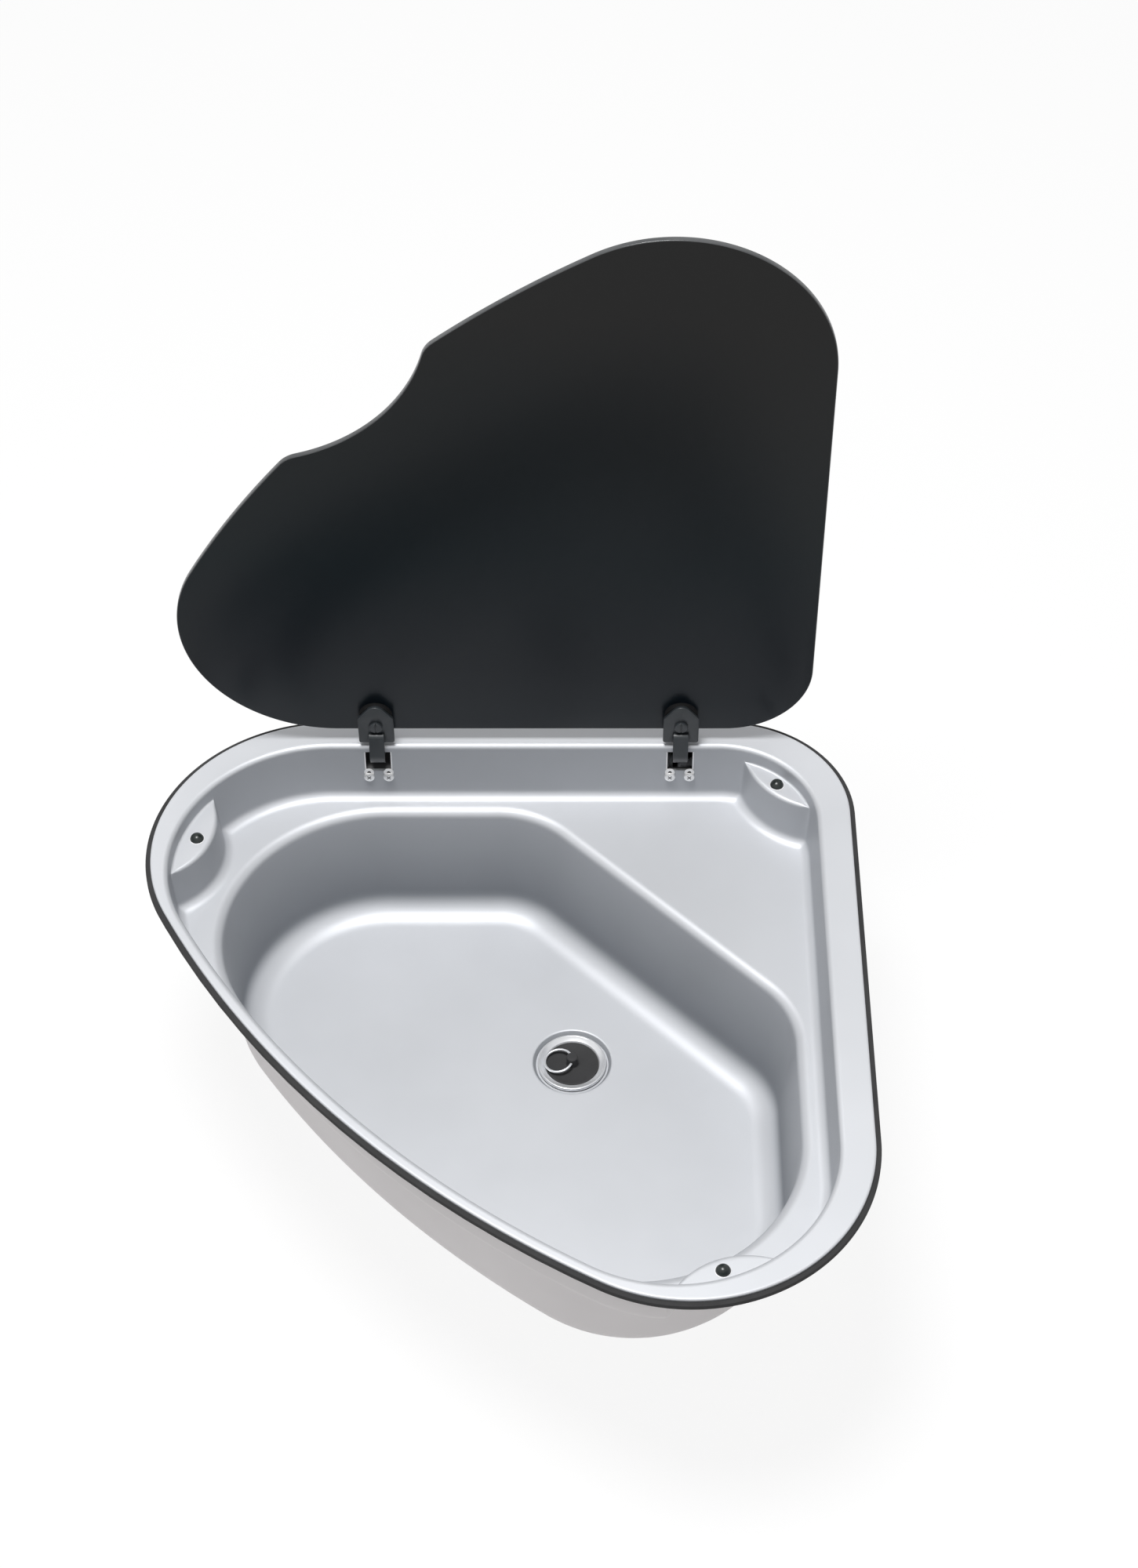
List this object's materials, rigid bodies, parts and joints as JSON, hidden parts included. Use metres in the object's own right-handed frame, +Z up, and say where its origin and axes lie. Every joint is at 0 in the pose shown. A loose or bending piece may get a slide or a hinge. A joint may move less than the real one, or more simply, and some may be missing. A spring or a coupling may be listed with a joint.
{
  "type": "corner sink with glass lid",
  "caption": "Three-sided stainless steel inset sink for a camper, with a hinged black glass lid that folds down flush into its rim, a rubber seal, a waste and a plug on a ring.",
  "frame": {"origin": "on the worktop plane, under the middle of the straight part of the rim's hinge side, at the steel's outer edge", "axes": "+Z up, +X to the right along the hinge side, +Y away from the bowl, so the bowl lies towards -Y"},
  "size_m": [0.507, 0.507, 0.692],
  "materials": {
    "satin_steel": "satin pressed stainless steel",
    "seal_rubber": "matt black sealing strip",
    "buffer_rubber": "soft dark buffers",
    "waste_chrome": "polished",
    "waste_plastic": "moulded black plastic",
    "plug_rubber": "black rubber",
    "ring_steel": "bright wire",
    "black_glass": "toughened, opaque black, polished edge",
    "hinge_black": "satin black",
    "hinge_plastic": "moulded black plastic",
    "bracket_zinc": "zinc plated sheet",
    "screw_steel": "bright screws and pins",
    "screw_black": "black screws through the glass",
    "pad_rubber": "soft black pad and bush"
  },
  "bodies": {
    "sink": {"sink_bowl": "satin_steel", "rim_seal": "seal_rubber", "buffer_left": "buffer_rubber", "buffer_corner": "buffer_rubber", "buffer_front": "buffer_rubber", "waste_flange": "waste_chrome", "waste_gasket": "seal_rubber", "waste_under_gasket": "seal_rubber", "waste_backnut": "waste_plastic", "tail_washer": "seal_rubber", "outlet_spigot": "waste_plastic", "outlet_nut": "waste_plastic", "hinge_bracket_left": "bracket_zinc", "bracket_screws_left": "screw_steel", "hinge_pin_left": "screw_steel", "hinge_bushes_left": "hinge_plastic", "hinge_bracket_right": "bracket_zinc", "bracket_screws_right": "screw_steel", "hinge_pin_right": "screw_steel", "hinge_bushes_right": "hinge_plastic"},
    "lid": {"glass_lid": "black_glass", "hinge_arm_left": "hinge_black", "hinge_plate_left": "hinge_black", "hinge_screw_left": "screw_black", "hinge_pad_left": "pad_rubber", "hinge_cap_left": "hinge_plastic", "hinge_arm_right": "hinge_black", "hinge_plate_right": "hinge_black", "hinge_screw_right": "screw_black", "hinge_pad_right": "pad_rubber", "hinge_cap_right": "hinge_plastic"},
    "plug": {"plug": "plug_rubber"},
    "ring": {"plug_ring": "ring_steel"}
  },
  "joints": [
    {"name": "lid_hinge", "type": "hinge", "parent": "sink", "child": "lid", "pos_m": [0, -0.0155, -0.0004], "axis": [1, 0, 0], "range_deg": [0, 88.8]},
    {"name": "plug_lift", "type": "slide", "parent": "sink", "child": "plug", "axis": [0, 0, 1], "range_m": [0, 0.1]},
    {"name": "ring_swing", "type": "hinge", "parent": "plug", "child": "ring", "pos_m": [0.0318, -0.2003, -0.1402], "axis": [0, 1, 0], "range_deg": [0, 197]}
  ]
}
